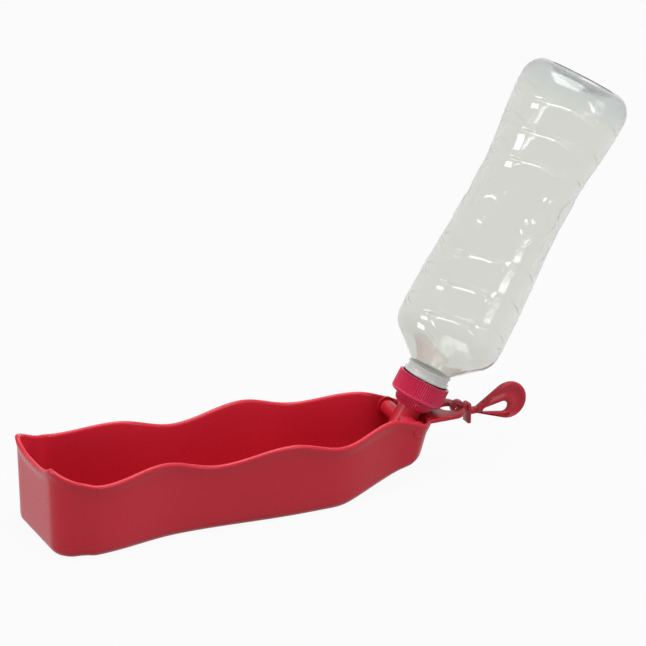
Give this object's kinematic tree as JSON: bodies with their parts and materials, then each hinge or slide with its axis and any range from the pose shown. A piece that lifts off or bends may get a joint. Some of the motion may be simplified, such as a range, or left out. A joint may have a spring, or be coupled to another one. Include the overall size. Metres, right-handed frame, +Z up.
{
  "type": "dog travel water bottle",
  "caption": "Clear squeeze bottle hinged by its twist-valve spout to a long red drinking trough that folds round it, with a carry strap.",
  "frame": {"origin": "middle of the trough's flat underside, halfway between its end wall and the hinge axis", "axes": "+X along the trough towards the hinge and the strap, +Y across the trough along the hinge axis, +Z up"},
  "size_m": [0.3608, 0.0784, 0.2337],
  "materials": {
    "red_plastic": "glossy moulded polypropylene, deep red",
    "clear_plastic": "clear blow-moulded plastic, glossy",
    "plug_plastic": "natural white moulded plastic",
    "strap_plastic": "soft flexible moulded plastic, red, satin",
    "gasket_rubber": "translucent white silicone",
    "seal_rubber": "black rubber"
  },
  "bodies": {
    "trough_body": {"trough": "red_plastic"},
    "spout": {"spout_body": "red_plastic", "cap_gasket": "gasket_rubber"},
    "collar": {"twist_collar": "red_plastic"},
    "plug": {"valve_plug": "plug_plastic", "plug_seal": "seal_rubber"},
    "cap": {"screw_cap": "red_plastic"},
    "bottle_body": {"bottle": "clear_plastic"},
    "strap": {"carry_strap": "strap_plastic"}
  },
  "joints": [
    {"name": "trough_hinge", "type": "hinge", "parent": "trough_body", "child": "spout", "pos_m": [0.11225, 0, 0.0325], "axis": [0, 1, 0], "range_deg": [-120, 0]},
    {"name": "collar_turn", "type": "hinge", "parent": "spout", "child": "collar", "pos_m": [0.12407, 0, 0.04877], "axis": [0.5, 0, 0.866], "range_deg": [0, 90]},
    {"name": "plug_lift", "type": "slide", "parent": "spout", "child": "plug", "axis": [0.5, 0, 0.866], "range_m": [0, 0.002]},
    {"name": "bottle_slide", "type": "slide", "parent": "spout", "child": "bottle_body", "axis": [0.5, 0, 0.866], "range_m": [0, 0.00202]},
    {"name": "cap_turn", "type": "hinge", "parent": "spout", "child": "cap", "pos_m": [0.12407, 0, 0.04877], "axis": [-0.5, 0, -0.866], "range_deg": [0, 270]},
    {"name": "strap_swing", "type": "hinge", "parent": "trough_body", "child": "strap", "pos_m": [0.1483, 0, 0.03315], "axis": [0, 1, 0], "range_deg": [-30, 35]}
  ],
  "couplings": [
    {"joint": "plug_lift", "follows": "collar_turn", "m_per_rad": 0.0012732},
    {"joint": "cap_turn", "follows": "bottle_slide", "rad_per_m": 2327.1}
  ]
}
